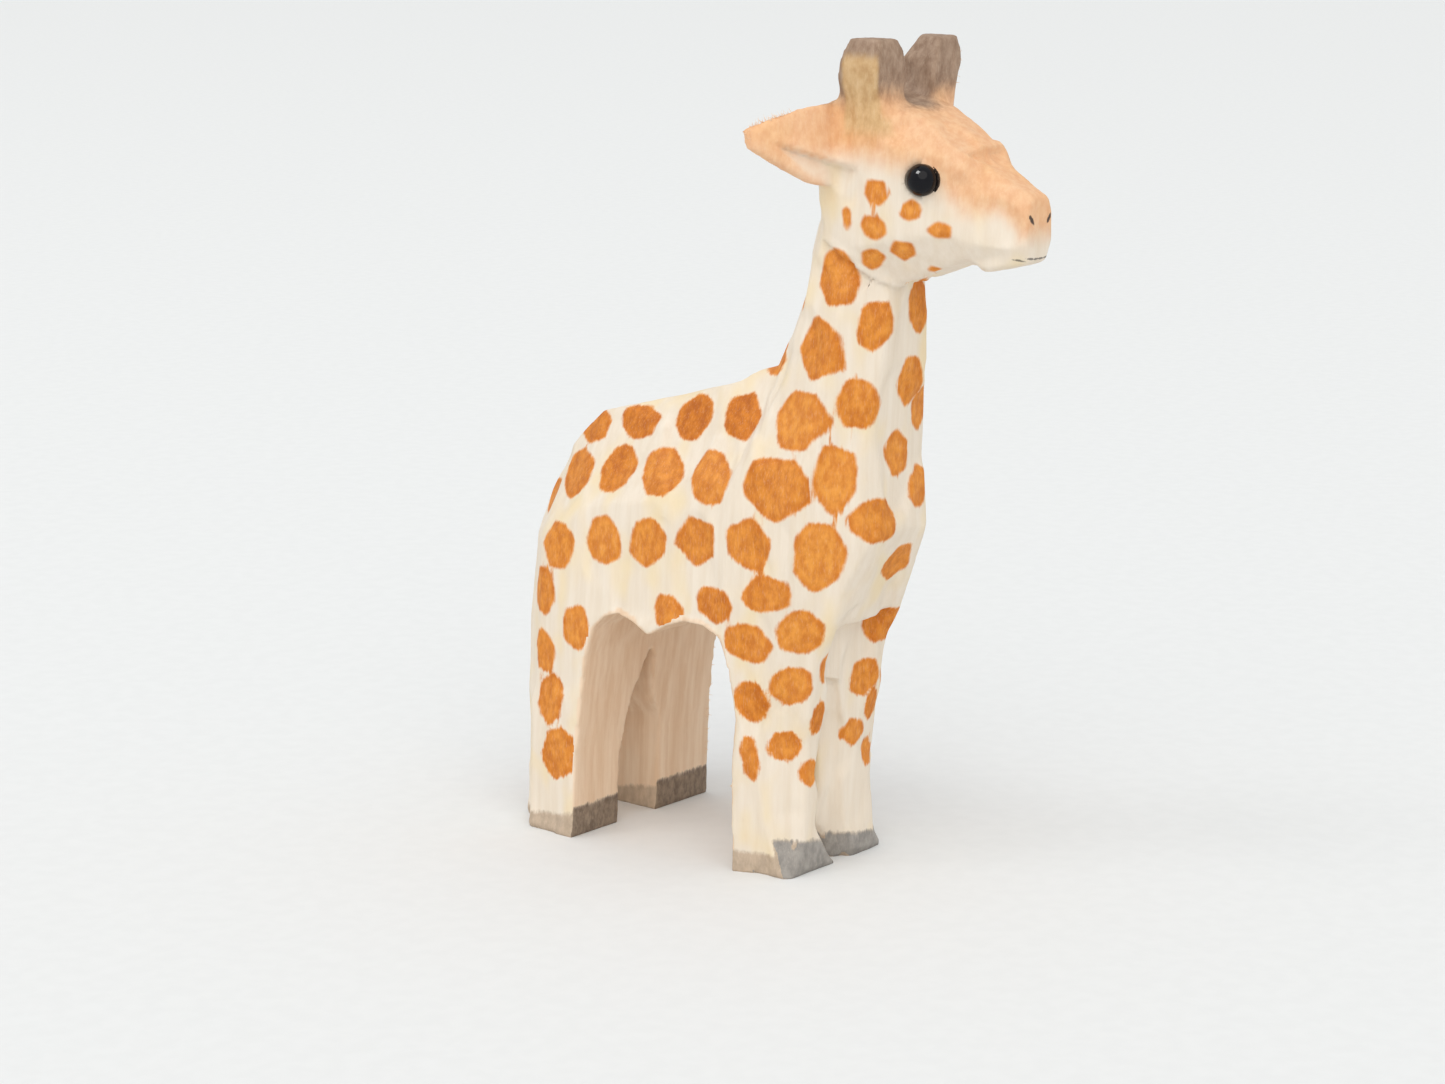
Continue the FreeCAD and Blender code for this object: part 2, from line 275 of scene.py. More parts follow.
def cut_steps(points, normals, side):
    """All the steps of one side; where two meet, the deeper one counts."""
    deepest = np.zeros(len(points))
    move = np.zeros_like(points)
    for start, end, *sizes in STEPS:
        ends = np.array(start) * (side, 1, 1), np.array(end) * (side, 1, 1)
        lift, face = sink_step(points, normals, *ends, *sizes)
        more = np.abs(lift) > np.abs(deepest)
        deepest[more] = lift[more]
        move[more] = lift[more, None] * face
    points += move


def hug_beads(points):
    """Brings the wood round each bead flush up to it, and the seat just inside it."""
    ring_in, ring_out = 2.0, 2.7  # the skin round the seat, which sets its level
    deepest, shoulder = 3.8, 3.9
    bore, lip, lip_depth = 0.6, 1.3, 0.8
    proud, bite = 0.02, 0.04
    away = points[:, 1:] - EYE_AXIS
    gap = np.linalg.norm(away, axis=1)
    for side in (1, -1):
        out = points[:, 0] * side
        ring = (gap > ring_in) & (gap < ring_out) & (out > deepest)
        plane = np.column_stack((np.ones(len(points)), away))
        level = plane @ np.linalg.lstsq(plane[ring], out[ring], rcond=None)[0]
        near = (gap > bore) & (gap < EYE_RIM) & (out > shoulder)
        rim = near & (gap > lip) & (out > level - lip_depth)
        points[rim, 0] = side * (level[rim] + proud)
        shrink = (EYE_RADIUS - bite) / gap[near]
        points[near, 1:] = EYE_AXIS + away[near] * shrink[:, None]


def grow_grain(points, normals, sawn):
    """Fine upright ridges left by the fibres, and the saw's faint level bands."""
    lift = np.empty(len(points))
    for i, (x, y, z) in enumerate(points):
        fine = noise.noise(Vector((x / 0.5, y / 0.5, z / 5.0)))
        broad = noise.noise(Vector((x / 1.7, y / 1.7, z / 9.0 + 20)))
        bands = noise.noise(Vector((x / 9.0, y / 9.0 + 40, z / 0.8)))
        lift[i] = 0.03 * fine + 0.05 * broad + 0.05 * bands * sawn[i]
    points += lift[:, None] * normals


def spread_spots(points, spacing, tries, chance):
    """Vertices picked by chance that keep their distance from each other."""
    chosen = []
    for i in chance.integers(0, len(points), tries):
        if all(np.linalg.norm(points[i] - points[j]) > spacing for j in chosen):
            chosen.append(int(i))
    return chosen


def cut_facets(points, broad, outside):
    """The deliberate knife cuts, then the small shavings dealt by chance."""
    for (px, py, pz), turn, tilt, depth, along, across in KNIFE_CUTS:
        for side in (1, -1):
            spot, face = np.array((side * px, py, pz)), facing(-side * turn, tilt)
            shave(points, broad, spot, face, depth, along, across, outside)
    chance = np.random.default_rng(SHAVING_SEED)
    for i in spread_spots(points, SHAVING_SPACING, SHAVING_TRIES, chance):
        depth = SHAVING_DEPTH * chance.uniform(0.6, 1.3)
        along, across = chance.uniform(*SHAVING_LENGTHS), chance.uniform(*SHAVING_WIDTHS)
        small = 0.5 if points[i, 2] > HEAD_BASE else 1.0
        size = np.array([depth, along, across]) * small
        face = broad[i] + chance.uniform(-SHAVING_TILT, SHAVING_TILT, 3)
        face /= np.linalg.norm(face)
        shave(points, broad, points[i].copy(), face, *size, outside)


def cut_lines(points, normals):
    """The ear hollows, the jaw, the brow and the grooves, on both sides."""
    for side in (1, -1):
        cut_steps(points, normals, side)
        for start, end, half_width, depth in GROOVES:
            ends = np.array(start) * (side, 1, 1), np.array(end) * (side, 1, 1)
            groove(points, normals, *ends, half_width, depth)


def keep_crisp(x, y, z, near_sawn, by_eye):
    """1 where an arris stays as the knife left it, 0 where it is sanded fully."""
    brow = 0.9 * ramp(-y, 19.2, 19.8) * (1 - ramp(-y, 21.2, 22.0)) * ramp(z, 63.6, 64.2)
    return np.maximum.reduce(
        [
            near_sawn,
            by_eye,
            1 - ramp(z, 0.3, 1.6),  # soles
            0.75 * ramp(z, 70.6, 71.4) * (y < -7),  # tops of the horns
            0.6 * ramp(np.abs(x), 7.6, 9.0) * ramp(z, 55.0, 58.0),  # ear tips
            brow,
            0.55 * ramp(-y, 21.8, 23.4),  # nose
        ]
    )


def carve(mesh):
    """Softens the blank's arrises and lays the knife facets over it."""
    points, edges = read_points(mesh), read_edges(mesh)
    normals = read_normals(mesh)
    sawn = sawn_share(points, normals)
    sole = points[:, 2] < 0.01
    x, y, z = points.T
    near_sawn = np.clip(relax(sawn, edges, 6, 0.6) * 1.6, 0, 1)
    from_eye = np.hypot(y - EYE_AXIS[0], z - EYE_AXIS[1])
    by_eye = 1 - ramp(from_eye, 2.0, 2.8)
    crisp = keep_crisp(x, y, z, near_sawn, by_eye)
    points = relax(points, edges, ARRIS_SANDINGS, 0.5 * (1 - crisp))
    write_points(mesh, points)
    normals = read_normals(mesh)
    broad = relax(normals, edges, 25, 0.5)
    broad /= np.linalg.norm(broad, axis=1)[:, None]
    cut_facets(points, broad, (1 - near_sawn) * (1 - 0.8 * by_eye))
    softness = 0.35 * (1 - 0.6 * near_sawn) * (1 - by_eye)
    points = relax(points, edges, FACET_SANDINGS, softness)
    write_points(mesh, points)
    normals = relax(read_normals(mesh), edges, 4, 0.5)
    cut_lines(points, normals)
    forward = np.clip((MUZZLE_ROOT - points[:, 1]) / MUZZLE_LENGTH, 0, 1)
    points[:, 1] -= NOSE_PUSH * forward**1.5
    points[:, 0] *= 1 - NOSE_PINCH * forward
    grow_grain(points, normals, sawn)
    hug_beads(points)
    points[sole, 2] = 0.0
    points[:, 2] = np.maximum(points[:, 2], 0.0)
    write_points(mesh, points)


def thin_out(mesh):
    """Keeps the piece's triangles under its budget."""
    dense = bpy.data.objects.new("dense_wood", mesh)
    bpy.context.scene.collection.objects.link(dense)
    triangles = sum(len(p.vertices) - 2 for p in mesh.polygons)
    decimate = dense.modifiers.new("thin out", "DECIMATE")
    decimate.ratio = min(1.0, TRIANGLE_BUDGET / triangles)
    thinned = bpy.data.meshes.new_from_object(
        dense.evaluated_get(bpy.context.evaluated_depsgraph_get())
    )
    bpy.data.objects.remove(dense)
    return thinned


# ---------------------------------------------------------------- the paint

# Orange patches are brushed on the right side and the breast in bands that follow
# the body: first and last place, how many, the first and the last one's width and
# height, and depth of colour from 0 (thin and bright) to 1 (twice brushed).
PATCH_BANDS = [
    # side of the neck down to the shoulder, and the neck's front corner
    ((-5.7, -9, 54), (-8.7, -5, 36), 4, (3.8, 4.8), (6.6, 6.2), 0.4),
    ((-4, -12, 50), (-7.5, -9, 30), 4, (3.5, 4.8), (4.8, 5.8), 0.2),
    # nape
    ((-4, -5, 52), (-3.5, -2, 46), 2, (2.6, 3.4), (3.6, 3), 0.6),
    # throat and breast
    ((2, -13, 51.5), (0, -12, 38.5), 3, (3.5, 4.8), (3.6, 4.3), 0.25),
    ((3.5, -12, 42), (3, -12, 35), 2, (3.2, 4), (3, 4), 0.4),
    ((-3, -12, 33), (1.5, -11.5, 28.5), 2, (5, 4.2), (3.6, 4.4), 0.4),
    # along the back, from the withers to the tail
    ((-6, 0.5, 41), (-5, 18, 38), 4, (4, 4.8), (4.6, 3.2), 0.65),
    # shoulder blade to rump, and flank
    ((-8.5, 2.5, 35.5), (-7, 19, 34), 4, (4.4, 5.4), (4.6, 4.8), 0.5),
    ((-9.5, -2.5, 30.5), (-9.5, 19, 27.5), 5, (4.8, 4.6), (4, 4.6), 0.3),
    # edge of the belly, and haunch
    ((-9.5, -4.5, 26), (-10, 6, 23), 3, (5.2, 3.6), (3.4, 3.4), 0.4),
    ((-10, 16, 20), (-9.5, 21, 22.5), 2, (3.8, 4.6), (3.8, 4.6), 0.4),
    # hind leg
    ((-10, 20.5, 17), (-10, 18, 8), 3, (3.2, 4.5), (4.4, 5.4), 0.5),
    # near front leg: its side, its front corner and its inner edge
    ((-9.5, -3, 21.5), (-9, -3, 11), 3, (4.4, 4), (2, 4.2), 0.35),
    ((-7, -7, 23), (-7, -5.5, 12), 3, (4.6, 4.6), (3.4, 3), 0.25),
    ((-4, -8, 19), (-4.5, -7, 9.5), 3, (1.8, 3.4), (2.3, 2.8), 0.35),
    # far front leg
    ((3, -8.5, 22), (2, -7, 12), 3, (4.6, 3.8), (3, 2.8), 0.4),
    # cheek, from the temple, the eye and the nose down to the jaw
    ((-6, -10, 59.5), (-6, -10, 59.5), 1, (1.1, 2.3), (1.1, 2.3), 0.1),
    ((-6, -13, 62), (-5, -12, 56), 3, (2.6, 2.4), (2.2, 2.4), 0.1),
    ((-5, -16, 60.5), (-4.5, -15, 57), 2, (2, 1.8), (2.3, 2.4), 0.15),
    ((-4.5, -18.5, 59), (-2.5, -17, 55.5), 2, (2.5, 1.5), (1.3, 1), 0.15),
]

# Single patches behind and on top: place, width, height, lean in degrees, corners
# and depth of colour.
PATCHES = [
    # back of the rump, out of the way of both sides
    ((-2.6, 24.6, 26.0), 4.2, 4.6, 10, 6, 0.5),
    ((3.2, 24.8, 20.2), 4.0, 4.8, -10, 6, 0.4),
    ((-4.4, 24.8, 12.4), 2.8, 4.2, 0, 5, 0.4),
    ((4.6, 24.8, 8.4), 3.0, 4.4, 0, 6, 0.5),
    ((1.6, 23.4, 32.4), 3.6, 3.0, 0, 6, 0.4),
    # back of the neck
    ((1.6, -1.6, 49.4), 3.6, 4.2, 0, 6, 0.4),
    ((-0.6, -3.4, 55.6), 3.2, 3.8, 0, 6, 0.4),
    ((2.4, -6.2, 45.4), 3.4, 3.8, 0, 6, 0.3),
    ((-1.6, -5.0, 60.4), 2.6, 2.8, 0, 5, 0.3),
    ((2.4, -5.2, 60.0), 2.2, 2.6, 0, 5, 0.2),
    # more of the rump and the backs of the hind legs
    ((4.6, 24.0, 27.6), 3.4, 4.4, 0, 6, 0.5),
    ((0.2, 24.9, 20.0), 3.0, 3.6, 0, 5, 0.3),
    ((-4.6, 24.9, 19.0), 3.2, 4.4, 6, 6, 0.5),
    ((4.8, 24.9, 14.4), 3.2, 3.8, 0, 6, 0.3),
    ((-4.2, 24.9, 6.4), 3.2, 4.4, -6, 5, 0.5),
    ((-5.6, 24.2, 31.0), 3.6, 3.8, 14, 6, 0.5),
    ((-1.8, 20.8, 36.6), 4.0, 3.4, 14, 6, 0.4),
    # top of the back
    ((1.2, 9.0, 42.0), 4.0, 3.6, 10, 6, 0.5),
    ((0.6, 15.2, 40.2), 3.8, 3.4, -10, 6, 0.5),
    ((1.8, 3.0, 43.6), 3.6, 3.8, 10, 6, 0.5),
]

# The head's peach wash starts below and is full above these heights, at these
# distances in front of the middle.
BLUSH_AT = [8.0, 14.0, 16.8, 20.5, 23.0, 25.2]
BLUSH_LOW = [62.8, 62.4, 61.2, 58.6, 59.4, 57.0]
BLUSH_HIGH = [66.4, 66.2, 66.0, 62.6, 62.2, 60.4]
MIRROR_FROM = 3.9  # patches further out than this are repeated on the left side
RUMP_BACK = 24  # patches behind this are not
CHEEK_BASE = 54  # above this they are repeated with little shift
PATCH_SEED = 17
BARE = -3.0  # patch depth where there is no patch


def patch_outline(width, height, lean, corners, chance):
    """An uneven outline between an ellipse and a polygon, drawn with a round brush."""
    turn = chance.uniform(0, 2 * math.pi)
    waves = [(k, chance.uniform(0, 2 * math.pi), 0.1 / k) for k in (1, 2, 3, 5)]
    wedge = math.pi / corners
    tip = math.radians(lean)
    outline = []
    for k in range(36):
        angle = 2 * math.pi * k / 36
        local = (angle - turn) % (2 * wedge) - wedge
        straight = math.cos(wedge) / math.cos(local)
        reach = (straight / math.cos(wedge) ** 0.55) ** 0.65
        reach *= 1 + sum(size * math.cos(n * angle + phase) for n, phase, size in waves)
        a, b = reach * width / 2 * math.cos(angle), reach * height / 2 * math.sin(angle)
        outline.append(
            (a * math.cos(tip) - b * math.sin(tip), a * math.sin(tip) + b * math.cos(tip))
        )
    return outline


def inside_by(a, b, outline):
    """Distance to an outline in its plane, positive inside."""
    nearest = np.full(len(a), 1e9)
    inside = np.zeros(len(a), bool)
    for k in range(len(outline)):
        (ax, ay), (bx, by) = outline[k], outline[(k + 1) % len(outline)]
        ex, ey = bx - ax, by - ay
        share = np.clip(((a - ax) * ex + (b - ay) * ey) / (ex * ex + ey * ey), 0, 1)
        nearest = np.minimum(nearest, np.hypot(a - ax - share * ex, b - ay - share * ey))
        crosses = ((ay > b) != (by > b)) & (a < (bx - ax) * (b - ay) / (by - ay + 1e-12) + ax)
        inside ^= crosses
    return np.where(inside, nearest, -nearest)


def fill_bands(bands):
    """Evenly spaced patches along each band, varied as a hand varies them."""
    chance = random.Random(PATCH_SEED + 2)
    rows = []
    for start, end, count, first, last, depth in bands:
        for k in range(count):
            share = k / max(count - 1, 1)
            spot = tuple(Vector(start).lerp(Vector(end), share))
            width, height = Vector(first).lerp(Vector(last), share)
            width, height = (size * chance.uniform(0.92, 1.08) for size in (width, height))
            tone = min(max(depth + chance.uniform(-0.2, 0.2), 0), 1)
            lean, corners = chance.uniform(-14, 14), chance.choice((5, 6, 7))
            rows.append((spot, width, height, lean, corners, tone))
    return rows


def both_sides(rows):
    """The rows and, shifted a little, their repeats on the animal's left side."""
    chance = random.Random(PATCH_SEED)
    result = list(rows)
    for (x, y, z), width, height, lean, corners, tone in rows:
        if x > -MIRROR_FROM or y > RUMP_BACK:
            continue
        shift = 0.3 if z > CHEEK_BASE else 0.9
        spot = (-x, y + chance.uniform(-shift, shift), z + chance.uniform(-shift, shift))
        stretch = chance.uniform(0.92, 1.08)
        if any(
            math.dist(spot, other) < 0.42 * (max(width, height) + max(w, h)) + 0.3
            for other, w, h, *_ in result
        ):
            continue
        result.append((spot, width * stretch, height / stretch, -lean, corners, tone))
    return result


def lay_patches(points, normals, skin):
    """How far inside a patch each point lies, in mm, and that patch's depth of colour."""
    chance = random.Random(PATCH_SEED + 1)
    edge = np.full(len(points), BARE)
    tone = np.zeros(len(points))
    for spot, width, height, lean, corners, depth in both_sides(fill_bands(PATCH_BANDS) + PATCHES):
        centre, face, _, _ = skin.find_nearest(Vector(spot))
        centre = np.array(centre)
        near = np.linalg.norm(points - centre, axis=1) < max(width, height) * 0.5 + 2.5
        face = normals[near & (np.linalg.norm(points - centre, axis=1) < 1.2)].mean(axis=0)
        face /= np.linalg.norm(face)
        level = np.cross([0.0, 0.0, 1.0], face)
        level /= np.linalg.norm(level)
        up = np.cross(face, level)
        outline = patch_outline(width, height, lean, corners, chance)
        offset = points[near] - centre
        depth_in = inside_by(offset @ level, offset @ up, outline)
        depth_in = np.minimum(depth_in, 2.5 + 4 * (normals[near] @ face))
        better = depth_in > edge[near]
        where = np.flatnonzero(near)[better]
        edge[where] = depth_in[better]
        tone[where] = depth
    return edge, tone


def add_field(mesh, name, values):
    """One number for each vertex, for the paint to read."""
    field = mesh.attributes.new(name, "FLOAT", "POINT")
    field.data.foreach_set("value", values.astype(np.float32))


def mark_hooves(mesh, points, normals):
    """Depth below the brushed edge of the hooves' stain, which faces look forward,
    and which hooves are hind ones."""
    x, y, z = points.T
    level_front = ramp(-normals[:, 1], 0.35, 0.75)
    front_line = 2.1 + 1.2 * level_front - 0.12 * (x + 6.0) * level_front
    hind_line = 2.4 - 0.16 * (y - 16.0) + 0.5 * level_front
    add_field(mesh, "hoof_depth", np.where(y < 8, front_line, hind_line) - z)
    add_field(mesh, "hoof_front", level_front)
    add_field(mesh, "hoof_hind", ramp(y, 7.0, 9.0))


def ear_scoop(points, normals):
    """1 in the paler floor of each ear's hollow."""
    x, y, z = points.T
    start, end = (np.array(spot) for spot in EAR_EDGE)
    along = (end - start) / np.linalg.norm(end - start)
    down = np.array([0.0, 0.0, -1.0]) + along[2] * along
    down /= np.linalg.norm(down)
    offset = np.column_stack((-np.abs(x), y, z)) - start
    u, w = offset @ along, offset @ down
    opening = 0.3 + EAR_OPENING * ramp(u, 0.0, 6.5)
    scoop = ramp(w, 0.05, 0.3) * (1 - ramp(w, 0.6 * opening, opening)) * ramp(u, 0.6, 2.0)
    return scoop * ((normals[:, 1] < 0.1) * (np.abs(x) > 5.6))


def mark_head(mesh, points, normals):
    """Peach wash on crown, brow, nose and ears that fades down the cheeks."""
    x, y, z = points.T
    low, high = (np.interp(-y, BLUSH_AT, levels) for levels in (BLUSH_LOW, BLUSH_HIGH))
    crown = ramp((z - low) / (high - low), 0.0, 1.0)
    ears = ramp(np.abs(x), 5.4, 8.0) * ramp(z, 60.0, 61.0)
    pale = 1 - 0.5 * ear_scoop(points, normals)
    blush = np.maximum(crown, 0.85 * ears) * pale * ramp(z, 56.0, 58.0)
    add_field(mesh, "blush", np.clip(blush, 0, 1))
    temple = ramp(z, 64.4, 66.4) * (1 - ramp(-y, 12.4, 13.6)) * (1 - ears)
    add_field(mesh, "temple", temple)


def mark_horns(mesh, points, soft):
    """Grey on the horns, fading at their foot, and ochre on their outer faces."""
    x, y, z = points.T
    place = (1 - ramp(np.abs(x), 6.9, 7.6)) * (y < -7.0) * ramp(y, -16.0, -13.2)
    foot = 67.2 - 1.4 * np.exp(-((x / 2.2) ** 2)) + 0.8 * ramp(-soft[:, 1], 0.2, 0.8)
    add_field(mesh, "horn", ramp(z - foot, 0.0, 4.4) * place)
    outer = ramp(np.abs(soft[:, 0]), 0.3, 0.9) * ramp(np.abs(x), 4.4, 5.2)
    outer *= ramp(z, 65.4, 68.0) * (1 - ramp(z, 72.6, 74.2))
    outer *= 1 - 0.9 * ramp(y, -9.7, -9.0)
    add_field(mesh, "horn_outer", outer * place * np.where(x < 0, 1.0, 0.5))


def mark_zones(mesh, sharp):
    """Writes down where each paint, stain and bare face lies."""
    points, edges = read_points(mesh), read_edges(mesh)
    normals = read_normals(mesh)
    z = points[:, 2]
    skin = BVHTree.FromPolygons(
        [Vector(p) for p in points], [tuple(f.vertices) for f in mesh.polygons]
    )
    flat = np.array([sharp.find_nearest(Vector(p))[1] for p in points])
    sawn = relax(sawn_share(points, flat), edges, 1, 0.5)
    edge, tone = lay_patches(points, relax(normals, edges, 4, 0.5), skin)
    add_field(mesh, "patch_edge", np.where(sawn > 0.5, BARE, edge))
    add_field(mesh, "patch_tone", tone)
    # how far a patch's edge wanders: most on the lower legs, least on the head
    brush = 1.0 + 0.6 * (1 - ramp(z, 14.0, 20.0)) - 0.75 * ramp(z, 54.0, 56.0)
    add_field(mesh, "brush", brush)
    add_field(mesh, "sawn", sawn)
    mark_hooves(mesh, points, normals)
    mark_head(mesh, points, normals)
    mark_horns(mesh, points, relax(normals, edges, 10, 0.5))


# ---------------------------------------------------------------- materials


def colour(code):
    """A colour of sRGB hex digits, as linear light."""
    channels = [int(code[i : i + 2], 16) / 255 for i in (1, 3, 5)]
    linear = [c / 12.92 if c <= 0.04045 else ((c + 0.055) / 1.055) ** 2.4 for c in channels]
    return (*linear, 1.0)


def add(tree, kind, settings, inputs, out=0):
    """Adds a node with its settings; each input is a value or a socket to link."""
    node = tree.nodes.new(kind)
    for key, value in settings.items():
        setattr(node, key, value)
    for key, value in inputs.items():
        if isinstance(value, bpy.types.NodeSocket):
            tree.links.new(value, node.inputs[key])
        else:
            node.inputs[key].default_value = value
    return node.outputs[out] if node.outputs else node


# Kinds of node with their settings, as add() takes them.
ATTRIBUTE = "ShaderNodeAttribute"
MAPPING = "ShaderNodeMapping"
NOISE = "ShaderNodeTexNoise"
MINUS = ("ShaderNodeMath", {"operation": "SUBTRACT"})
TIMES = ("ShaderNodeMath", {"operation": "MULTIPLY"})
TIMES_PLUS = ("ShaderNodeMath", {"operation": "MULTIPLY_ADD"})
FADE = ("ShaderNodeMapRange", {"interpolation_type": "SMOOTHSTEP"})
MIX = ("ShaderNodeMix", {"data_type": "RGBA"})
# Sockets of a colour mix, and of a fade from a low to a high value.
SHARE, UNDER, OVER, MIXED = 0, 6, 7, 2
VALUE, LOW, HIGH, NONE, FULL = 0, 1, 2, 3, 4

# What mark_zones() writes on the mesh.
ZONE_NAMES = """sawn blush temple patch_edge patch_tone brush horn horn_outer
    hoof_depth hoof_front hoof_hind""".split()

# Marks in wood and paint: size across and along the grain in mm, detail, shift.
# Real fibres and pores are a few hundredths of a millimetre wide, too fine to show
# at the figurine's whole height. They are drawn coarser, to a given size.
WOOD_MARKS = {
    "fibre": (0.22, 3.5, 3.0, 0.0),
    "grain": (0.9, 14.0, 3.0, 3.0),
    "cloud": (5.0, 8.0, 2.0, 9.0),
    "mottle": (0.7, 1.1, 4.0, 5.0),
    "pores": (0.12, 0.7, 2.0, 7.0),
}

# Washes in the order they are brushed on: the zone that each fills, the marks that
# make its edge wander, where the edge fades in and is full, how well it covers, the
# marks that blot it, and its light and dark colours.
WASHES = [
    ("sawn", {}, 0.0, 1.0, 1.0, "grain", "#EDD5BB", "#E0C1A2"),
    ("blush", {"mottle": 0.25, "cloud": 0.6}, -0.05, 1.1, 0.88, "mottle", "#EDB987", "#E2A472"),
    ("temple", {"mottle": 0.25, "cloud": 0.6}, 0.3, 1.1, 0.42, "mottle", "#DD9B58", "#D08C4A"),
    ("patch_edge", {}, -0.16, 0.24, 0.97, "mottle", "#EB9C3C", "#D07A20"),
    ("patch_deep", {}, 0.0, 1.0, 0.95, "mottle", "#D27A1C", "#AE5A0E"),
    ("patch_rim", {}, 0.0, 1.0, 0.35, "mottle", "#D27618", "#C2640E"),
    ("horn", {"mottle": 0.5}, 0.05, 0.9, 0.9, "mottle", "#A08A79", "#7D6858"),
    ("horn_outer", {"mottle": 0.6}, 0.1, 1.0, 0.85, "mottle", "#DAB888", "#C69E6C"),
    ("hoof_side", {}, -0.15, 0.35, 0.9, "mottle", "#C4AE97", "#A99581"),
    ("hoof_blue", {}, -0.15, 0.35, 0.9, "mottle", "#A09C97", "#85827F"),
    ("hoof_brown", {}, -0.15, 0.35, 0.9, "mottle", "#96836F", "#6E5C4D"),
]

PEN_REACH = 1.2  # how deep into the wood a stroke is looked for

# Pen strokes on both sides: centre, turn about X, Y and Z, length, width, ink.
PEN_STROKES = [
    ((1.35, 25.6, 60.3), (0, 40, 0), 1.05, 0.4, 0.9),
    ((0.35, 25.7, 56.95), (0, 90, 0), 0.8, 0.2, 0.7),
    ((1.1, 25.6, 57.0), (0, 84, 0), 0.8, 0.2, 0.7),
    ((1.8, 25.4, 56.85), (0, 76, 0), 0.8, 0.2, 0.7),
]


def new_material(name):
    material = bpy.data.materials.new(name)
    material.use_nodes = True
    material.node_tree.nodes.clear()
    return material, material.node_tree


